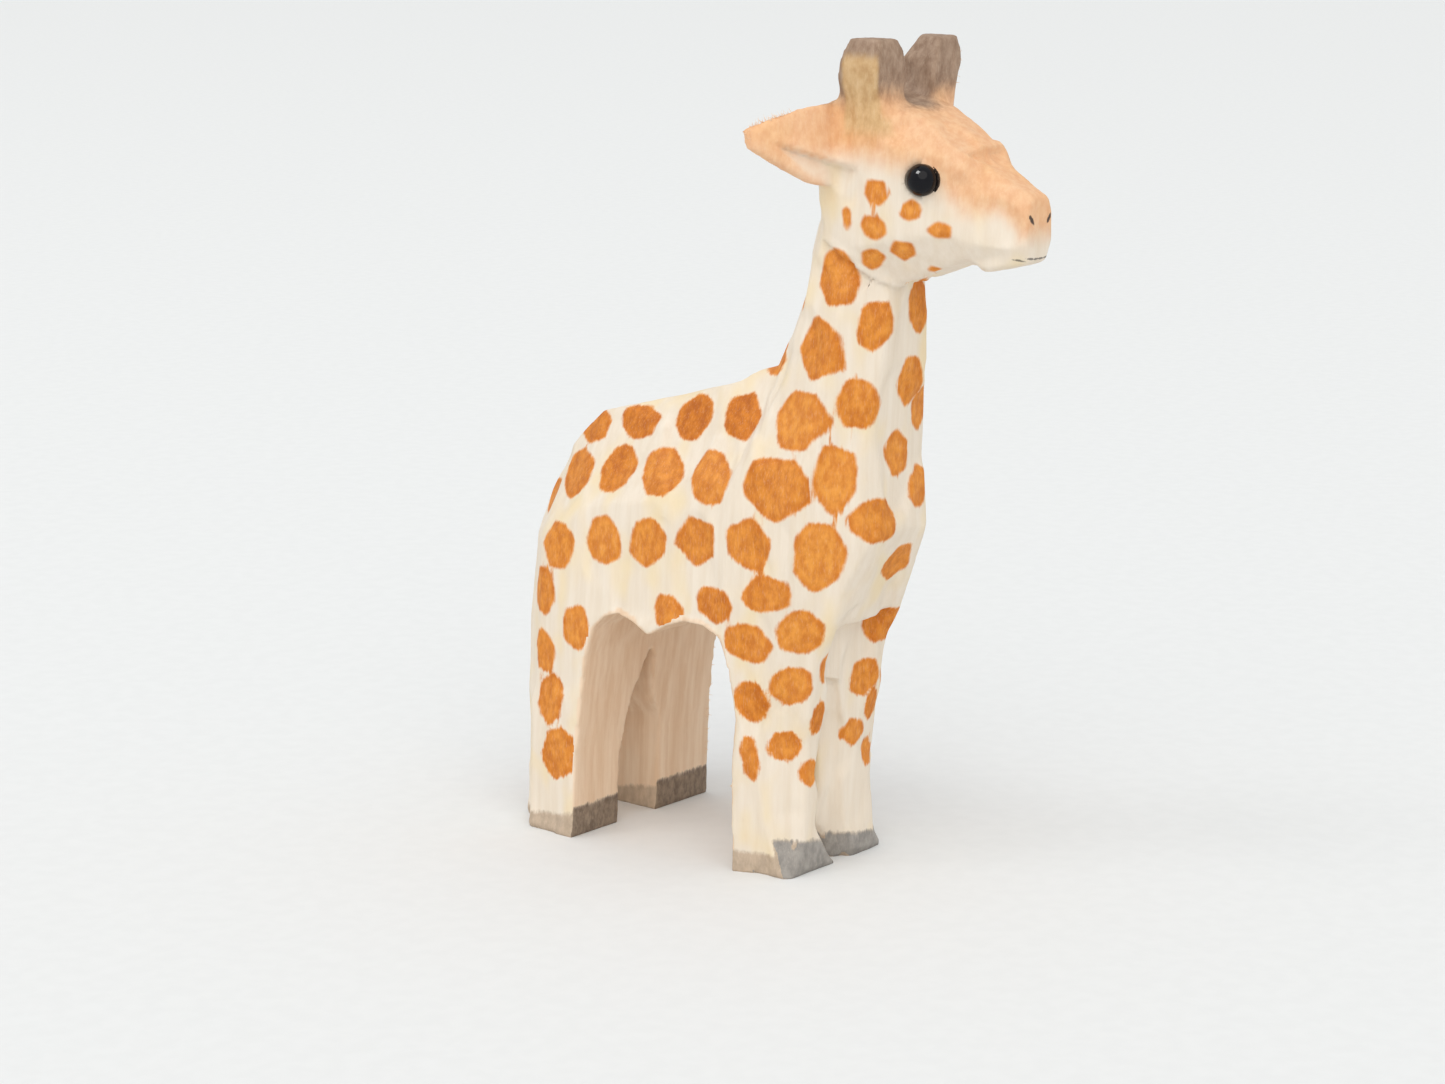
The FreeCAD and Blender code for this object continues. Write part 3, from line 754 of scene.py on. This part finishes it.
def painted_basswood():
    """Basswood cut with a knife and brushed with thin washes. It gives the eye a
    matte, even and pale surface with faint upright grain, orange that bleeds a
    little along the fibres, and grey stain on hooves and horns."""
    material, tree = new_material("painted_basswood")
    place = add(tree, "ShaderNodeTexCoord", {}, {}, "Object")
    marks, zones = {}, {}
    for name, (across, along, detail, shift) in WOOD_MARKS.items():
        scale = (1 / (across * MM), 1 / (across * MM), 1 / (along * MM))
        at = add(tree, MAPPING, {}, {0: place, 1: (shift, shift, shift), 3: scale})
        sizes = {"Vector": at, "Scale": 1.0, "Detail": detail, "Roughness": 0.6}
        spread = add(tree, NOISE, {}, sizes, "Fac")
        marks[name] = add(tree, *MINUS, {0: spread, 1: 0.5})
    for name in ZONE_NAMES:
        zones[name] = add(tree, ATTRIBUTE, {"attribute_name": name}, {}, "Fac")

    # the patches' edge wanders with the brush and runs along the fibres; each is
    # deeper in colour in places, and along its rim where the paint dried last
    wander = add(tree, *TIMES, {0: marks["fibre"], 1: 0.3})
    wander = add(tree, *TIMES_PLUS, {0: marks["mottle"], 1: 0.45, 2: wander})
    edge = add(tree, *TIMES_PLUS, {0: wander, 1: zones["brush"], 2: zones["patch_edge"]})
    cover = add(tree, *FADE, {VALUE: edge, LOW: -0.1, HIGH: 0.3})
    tone = add(tree, *TIMES_PLUS, {0: marks["cloud"], 1: 1.0, 2: zones["patch_tone"]})
    rim = add(tree, *FADE, {VALUE: edge, LOW: 0.9, HIGH: 0.1})
    zones["patch_edge"] = edge
    zones["patch_deep"] = add(tree, *TIMES, {0: cover, 1: tone})
    zones["patch_rim"] = add(tree, *TIMES, {0: cover, 1: rim})

    # the hooves' stain is thin on most faces, and dark on those that look forward:
    # grey on the front hooves and brown on the hind ones
    depth = add(tree, *TIMES_PLUS, {0: marks["fibre"], 1: 0.4, 2: zones["hoof_depth"]})
    depth = add(tree, *TIMES_PLUS, {0: marks["mottle"], 1: 0.9, 2: depth})
    toward = add(tree, *MINUS, {0: zones["hoof_front"], 1: 1.0})
    behind = add(tree, *MINUS, {0: zones["hoof_hind"], 1: 1.0})
    zones["hoof_side"] = depth
    zones["hoof_blue"] = add(tree, *TIMES_PLUS, {0: toward, 1: 4.0, 2: depth})
    zones["hoof_brown"] = add(tree, *TIMES_PLUS, {0: behind, 1: 4.0, 2: zones["hoof_blue"]})

    # cream wash, with the grain showing through
    pale = {SHARE: marks["grain"], UNDER: colour("#EBDFCF"), OVER: colour("#E2D3BF")}
    pale[SHARE] = add(tree, *FADE, {VALUE: marks["grain"], LOW: -0.3, HIGH: 0.3})
    surface = add(tree, *MIX, pale, MIXED)
    warm = add(tree, *FADE, {VALUE: marks["cloud"], LOW: -0.02, HIGH: 0.2})
    surface = add(tree, *MIX, {SHARE: warm, UNDER: surface, OVER: colour("#EAD8B5")}, MIXED)

    for zone, wandering, low, high, strength, blotting, light, dark in WASHES:
        share = zones[zone]
        for mark, amount in wandering.items():
            share = add(tree, *TIMES_PLUS, {0: marks[mark], 1: amount, 2: share})
        share = add(tree, *FADE, {VALUE: share, LOW: low, HIGH: high, FULL: strength})
        blots = add(tree, *FADE, {VALUE: marks[blotting], LOW: -0.22, HIGH: 0.22})
        paint = {SHARE: blots, UNDER: colour(light), OVER: colour(dark)}
        paint = add(tree, *MIX, paint, MIXED)
        surface = add(tree, *MIX, {SHARE: share, UNDER: surface, OVER: paint}, MIXED)

    # pale fibres stand a little prouder than the paint
    worn = add(tree, *FADE, {VALUE: marks["pores"], LOW: 0.02, HIGH: 0.22, FULL: 0.1})
    surface = add(tree, *MIX, {SHARE: worn, UNDER: surface, OVER: colour("#F4E2CC")}, MIXED)

    # nostrils and mouth drawn with a fine black pen
    mirrored = add(tree, "ShaderNodeVectorMath", {"operation": "ABSOLUTE"}, {0: place})
    for centre, turn, long, wide, ink in PEN_STROKES:
        where = {
            0: mirrored,
            1: tuple(abs(c) * MM for c in centre),
            2: tuple(math.radians(t) for t in turn),
            3: (wide * MM / 2, PEN_REACH * MM, long * MM / 2),
        }
        at = add(tree, MAPPING, {"vector_type": "TEXTURE"}, where)
        gap = add(tree, "ShaderNodeVectorMath", {"operation": "LENGTH"}, {0: at}, "Value")
        gap = add(tree, *TIMES_PLUS, {0: marks["pores"], 1: 1.2, 2: gap})
        share = add(tree, *FADE, {VALUE: gap, LOW: 1.15, HIGH: 0.75, FULL: ink})
        surface = add(tree, *MIX, {SHARE: share, UNDER: surface, OVER: colour("#22242A")}, MIXED)

    relief = add(tree, *TIMES_PLUS, {0: marks["fibre"], 1: 2.0, 2: marks["pores"]})
    sizes = {"Strength": 0.5, "Distance": 0.02 * MM, "Height": relief}
    bump = add(tree, "ShaderNodeBump", {}, sizes)
    finish = {"Base Color": surface, "Roughness": 0.68, "IOR": 1.5, "Normal": bump}
    finish["Specular IOR Level"] = 0.22
    shader = add(tree, "ShaderNodeBsdfPrincipled", {}, finish)
    add(tree, "ShaderNodeOutputMaterial", {}, {"Surface": shader})
    return material


# Materials with one pattern in them: the size of its marks in mm, the two colours
# it runs between, the two roughnesses, and the rest of the finish.
PLAIN_LOOKS = {
    # loose basswood fibres torn up by the knife: pale, thin and dull
    "torn_basswood": (0.6, "#F2D9BC", "#E2B48A", 0.7, 0.8, {"IOR": 1.5}),
    # black pressed glass, fire-polished: deep black with sharp reflections, and the
    # faintest haze where it was handled
    "eye_glass": (1.2, "#05050B", "#08080F", 0.02, 0.05, {"IOR": 1.52, "Specular IOR Level": 0.2}),
    # clear craft glue cured in a thin bed, glossy; its dark brown is painted shade of the eye's
    # socket round the bead
    "clear_glue": (0.5, "#2A2320", "#3A302A", 0.18, 0.3, {"IOR": 1.49}),
    # plain drawn steel wire, dull from handling
    "stem_wire": (0.2, "#B9BABD", "#A2A3A6", 0.3, 0.45, {"Metallic": 1.0}),
    # matte white paper, with a tooth drawn coarser than a real sheet's so that it shows
    "paper_sweep": (2.0, "#E6E7E7", "#E4E5E5", 0.9, 0.95, {"IOR": 1.45}),
}


def plain_material(name):
    """One of the plain looks, with its marks spread evenly through the object."""
    mark, light, dark, smooth, rough, rest = PLAIN_LOOKS[name]
    material, tree = new_material(name)
    place = add(tree, "ShaderNodeTexCoord", {}, {}, "Object")
    sizes = {"Vector": place, "Scale": 1 / (mark * MM), "Detail": 3.0}
    spread = add(tree, NOISE, {}, sizes, "Fac")
    share = add(tree, *FADE, {VALUE: spread, LOW: 0.3, HIGH: 0.7})
    tint = {SHARE: share, UNDER: colour(light), OVER: colour(dark)}
    finish = dict(rest)
    finish["Base Color"] = add(tree, *MIX, tint, MIXED)
    sheen = {VALUE: spread, LOW: 0.3, HIGH: 0.7, NONE: smooth, FULL: rough}
    finish["Roughness"] = add(tree, *FADE, sheen)
    shader = add(tree, "ShaderNodeBsdfPrincipled", {}, finish)
    add(tree, "ShaderNodeOutputMaterial", {}, {"Surface": shader})
    return material


# ---------------------------------------------------------------- building


def finish_piece(name, mesh, material):
    """A named object in the scene whose mesh is in metres and in place."""
    mesh.transform(Matrix.Scale(MM, 4))
    mesh.materials.clear()
    mesh.materials.append(material)
    piece = bpy.data.objects.new(name, mesh)
    bpy.context.scene.collection.objects.link(piece)
    return piece


def build_wood():
    """The carved and painted body, with the wisps of torn wood on it."""
    mesh, sharp = fine_blank()
    carve(mesh)
    mesh = thin_out(mesh)
    mark_zones(mesh, sharp)
    mesh.shade_smooth()
    wood = finish_piece("giraffe_wood", mesh, painted_basswood())
    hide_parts("carved_figure")
    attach(wood, "root")
    build_fibres(wood, plain_material("torn_basswood"))


# Where torn fibres still stand off the cut edges: from, to, how many, length.
# They are drawn thicker than a single real fibre, so that they show.
FIBRE_EDGES = [
    ((-11.6, -3.6, 67.4), (-9.6, -6.0, 68.6), 60, 0.6),
    ((-12.0, -3.8, 65.6), (-12.0, -3.6, 67.0), 14, 0.45),
    ((11.6, -3.6, 67.4), (9.6, -6.0, 68.6), 26, 0.5),
    ((9.9, 16.0, 4.0), (9.9, 15.4, 15.5), 34, 0.45),
    ((8.2, -4.6, 6.0), (8.8, -4.6, 14.0), 16, 0.4),
    ((-1.6, -13.6, 53.6), (-2.4, -16.6, 54.8), 12, 0.35),
    ((6.1, -12.9, 70.4), (6.4, -12.9, 73.6), 8, 0.35),
]
FIBRE_SEED = 5
FIBRE_WIDTH = 0.06
FIBRE_STRAY = 0.3  # how far a fibre's root may lie from its line
FIBRE_BITE = 0.02  # how deep its root is sunk
FIBRE_LEAN = 0.9  # how far it may lean aside, next to 1 straight out


def fibre_tree(material):
    """Stands a thin tapered fibre on every point of a mesh, leaning by chance."""
    tree = bpy.data.node_groups.new("loose_fibres", "GeometryNodeTree")
    for name, kind in (("Geometry", "Geometry"), ("Width", "Float"), ("Seed", "Int")):
        tree.interface.new_socket(name, in_out="INPUT", socket_type="NodeSocket" + kind)
    tree.interface.new_socket("Geometry", in_out="OUTPUT", socket_type="NodeSocketGeometry")
    given = add(tree, "NodeGroupInput", {}, {}).node.outputs
    sizes = {"Vertices": 4, "Radius Top": 0.0, "Radius Bottom": given["Width"], "Depth": 1.0}
    fibre = add(tree, "GeometryNodeMeshCone", {"fill_type": "NGON"}, sizes, "Mesh")
    named = "GeometryNodeInputNamedAttribute"
    length = add(tree, named, {"data_type": "FLOAT"}, {"Name": "length"}, "Attribute")
    out = add(tree, named, {"data_type": "FLOAT_VECTOR"}, {"Name": "out"}, "Attribute")
    spread = {0: (-FIBRE_LEAN,) * 3, 1: (FIBRE_LEAN,) * 3, "Seed": given["Seed"]}
    lean = add(tree, "FunctionNodeRandomValue", {"data_type": "FLOAT_VECTOR"}, spread)
    way = add(tree, "ShaderNodeVectorMath", {"operation": "ADD"}, {0: out, 1: lean})
    turn = add(tree, "FunctionNodeAlignRotationToVector", {"axis": "Z"}, {"Vector": way})
    stretch = add(tree, "ShaderNodeCombineXYZ", {}, {"X": 1.0, "Y": 1.0, "Z": length})
    stand = {"Points": given["Geometry"], "Instance": fibre, "Rotation": turn, "Scale": stretch}
    stood = add(tree, "GeometryNodeInstanceOnPoints", {}, stand)
    real = add(tree, "GeometryNodeRealizeInstances", {}, {"Geometry": stood})
    painted = {"Geometry": real, "Material": material}
    painted = add(tree, "GeometryNodeSetMaterial", {}, painted)
    add(tree, "NodeGroupOutput", {}, {0: painted})
    return tree


def build_fibres(wood, material):
    """Wisps of torn wood along the ears, legs and jaw."""
    skin = BVHTree.FromPolygons(
        [v.co / MM for v in wood.data.vertices],
        [tuple(face.vertices) for face in wood.data.polygons],
    )
    chance = random.Random(FIBRE_SEED)
    spots, outs, lengths = [], [], []
    for start, end, count, length in FIBRE_EDGES:
        for _ in range(count):
            place = Vector(start).lerp(Vector(end), chance.random())
            place += Vector([chance.uniform(-FIBRE_STRAY, FIBRE_STRAY) for _ in range(3)])
            spot, out, _, _ = skin.find_nearest(place)
            spots.append(spot - FIBRE_BITE * out)
            outs.append(out)
            lengths.append(length * chance.uniform(0.4, 1.2))
    roots = bpy.data.meshes.new("fibre_roots")
    roots.from_pydata(spots, [], [])
    roots.attributes.new("out", "FLOAT_VECTOR", "POINT").data.foreach_set(
        "vector", np.array(outs).ravel()
    )
    add_field(roots, "length", np.array(lengths))
    holder = bpy.data.objects.new("fibre_roots", roots)
    bpy.context.scene.collection.objects.link(holder)
    grow = holder.modifiers.new("grow", "NODES")
    grow.node_group = fibre_tree(material)
    for item in grow.node_group.interface.items_tree:
        if item.in_out == "INPUT" and item.name in ("Width", "Seed"):
            grow[item.identifier] = FIBRE_WIDTH / 2 if item.name == "Width" else FIBRE_SEED
    mesh = bpy.data.meshes.new_from_object(
        holder.evaluated_get(bpy.context.evaluated_depsgraph_get())
    )
    bpy.data.objects.remove(holder)
    fibres = finish_piece("loose_fibres", mesh, material)
    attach(fibres, "root")


def turned(name, profile, sign, segments=64):
    """A closed shape turned about the eye's axis from (outward, radius) points."""
    mesh = bpy.data.meshes.new(name)
    shape = bmesh.new()
    rings = []
    for outward, radius in profile:
        if radius < 1e-6:
            rings.append([shape.verts.new((sign * outward, EYE_AXIS[0], EYE_AXIS[1]))])
            continue
        ring = []
        for k in range(segments):
            a = 2 * math.pi * k / segments
            y = EYE_AXIS[0] + radius * math.cos(a)
            z = EYE_AXIS[1] + radius * math.sin(a)
            ring.append(shape.verts.new((sign * outward, y, z)))
        rings.append(ring)
    for low, high in zip(rings, rings[1:]):
        for k in range(segments):
            j = (k + 1) % segments
            corners = [low[k % len(low)], low[j % len(low)]]
            corners += [high[j % len(high)], high[k % len(high)]]
            unique = list(dict.fromkeys(corners))
            if len(unique) > 2:
                shape.faces.new(unique)
    bmesh.ops.recalc_face_normals(shape, faces=shape.faces)
    shape.to_mesh(mesh)
    shape.free()
    mesh.shade_smooth()
    return mesh


def build_eye(side, sign, glass):
    """One glass bead: flat behind, eased at its back edge, domed in front."""
    back = EYE_SEAT + GLUE_THICK
    centre = DOME_FRONT - DOME_RADIUS
    widest = math.asin(EYE_RADIUS / DOME_RADIUS)
    profile = [(back, 0.0), (back, EYE_RADIUS - 0.12), (back + 0.03, EYE_RADIUS - 0.03)]
    profile.append((back + 0.12, EYE_RADIUS))
    for k in range(25):
        angle = widest * (1 - k / 24)
        profile.append((centre + DOME_RADIUS * math.cos(angle), DOME_RADIUS * math.sin(angle)))
    bead = finish_piece(side + "_eye_bead", turned(side + "_bead", profile, sign), glass)
    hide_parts(side + "_eye")
    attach(bead, "root")


def dress_cad_nodes():
    """Stems are shown as they are made; the glue beds are coloured dark brown, as painted shade in
    the eye sockets.
    """
    looks = {
        "eye_glue": plain_material("clear_glue"),
        "eye_stem": plain_material("stem_wire"),
    }
    for name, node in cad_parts.items():
        for ending, material in looks.items():
            if name.endswith(ending):
                node.data.materials.clear()
                node.data.materials.append(material)


FLOOR_SIDE = 6.0  # metres

# Camera: turn round the giraffe, tilt and roll in degrees, place in metres, and
# lens in mm.
CAMERA_TURN, CAMERA_TILT, CAMERA_ROLL = -52.84, 11.83, 1.24
CAMERA_PLACE = (-0.2436, -0.1775, 0.0918)
CAMERA_LENS = 84.7

# Lamps: place and side in metres, power in watts. The window only shows where
# something mirrors it.
AIM = (0, 0, 0.04)
SOFT_BOX = ((-0.68, 0.33, 1.18), 0.4, 1.5)
WINDOW = ((-0.73, 0.23, 1.11), 0.45, 15.0)
SUN_FROM = (-0.62, -0.42, 0.66)
SUN_POWER = 0.95
SUN_SPREAD = 60  # degrees
AIR_STRENGTH = 0.98


def build_stage():
    """A pale, flat paper floor."""
    mesh = bpy.data.meshes.new("paper_floor")
    shape = bmesh.new()
    bmesh.ops.create_grid(shape, x_segments=1, y_segments=1, size=FLOOR_SIDE / 2)
    shape.to_mesh(mesh)
    shape.free()
    floor = bpy.data.objects.new("paper_floor", mesh)
    mesh.materials.append(plain_material("paper_sweep"))
    bpy.context.scene.collection.objects.link(floor)


def add_light(name, place, size, power):
    """A square white lamp that looks at the middle of the giraffe."""
    lamp = bpy.data.lights.new(name, "AREA")
    lamp.size = size
    lamp.energy = power
    holder = bpy.data.objects.new(name, lamp)
    holder.location = place
    aim = Vector(AIM) - Vector(place)
    holder.rotation_euler = aim.to_track_quat("-Z", "Y").to_euler()
    bpy.context.scene.collection.objects.link(holder)
    return holder


def build_light():
    """Even pale air and a broad soft sun from high behind the camera. A soft box and
    a window that only polished things mirror hang high on the left."""
    world = bpy.data.worlds.new("studio_air")
    world.use_nodes = True
    air = world.node_tree.nodes["Background"]
    air.inputs["Color"].default_value = colour("#EEF0F1")
    air.inputs["Strength"].default_value = AIR_STRENGTH
    bpy.context.scene.world = world
    sun = bpy.data.lights.new("broad_sun", "SUN")
    sun.energy = SUN_POWER
    sun.angle = math.radians(SUN_SPREAD)
    sun.color = colour("#FFFAF2")[:3]
    holder = bpy.data.objects.new("broad_sun", sun)
    holder.rotation_euler = (-Vector(SUN_FROM)).to_track_quat("-Z", "Y").to_euler()
    bpy.context.scene.collection.objects.link(holder)
    add_light("soft_box", *SOFT_BOX)
    add_light("window", *WINDOW).visible_diffuse = False
    bpy.context.scene.view_settings.view_transform = "Standard"


def build_camera():
    """Stands to the animal's right front, a little above its head."""
    camera = bpy.data.objects.new("camera", bpy.data.cameras.new("camera"))
    turn, tilt, roll = map(math.radians, (CAMERA_TURN, CAMERA_TILT, CAMERA_ROLL))
    back = Vector(
        (math.sin(turn) * math.cos(tilt), -math.cos(turn) * math.cos(tilt), math.sin(tilt))
    )
    right = Vector((math.cos(turn), math.sin(turn), 0.0))
    up = back.cross(right)
    rolled_right = math.cos(roll) * right + math.sin(roll) * up
    rolled_up = -math.sin(roll) * right + math.cos(roll) * up
    turned_to = Matrix((rolled_right, rolled_up, back)).transposed().to_4x4()
    camera.matrix_world = Matrix.Translation(CAMERA_PLACE) @ turned_to
    camera.data.lens = CAMERA_LENS
    camera.data.sensor_width = 36.0
    camera.data.clip_start = 0.01
    bpy.context.scene.collection.objects.link(camera)
    bpy.context.scene.camera = camera


build_stage()
build_light()
build_camera()
build_wood()
bead_glass = plain_material("eye_glass")
for side, sign in (("right", -1), ("left", 1)):
    build_eye(side, sign, bead_glass)
dress_cad_nodes()
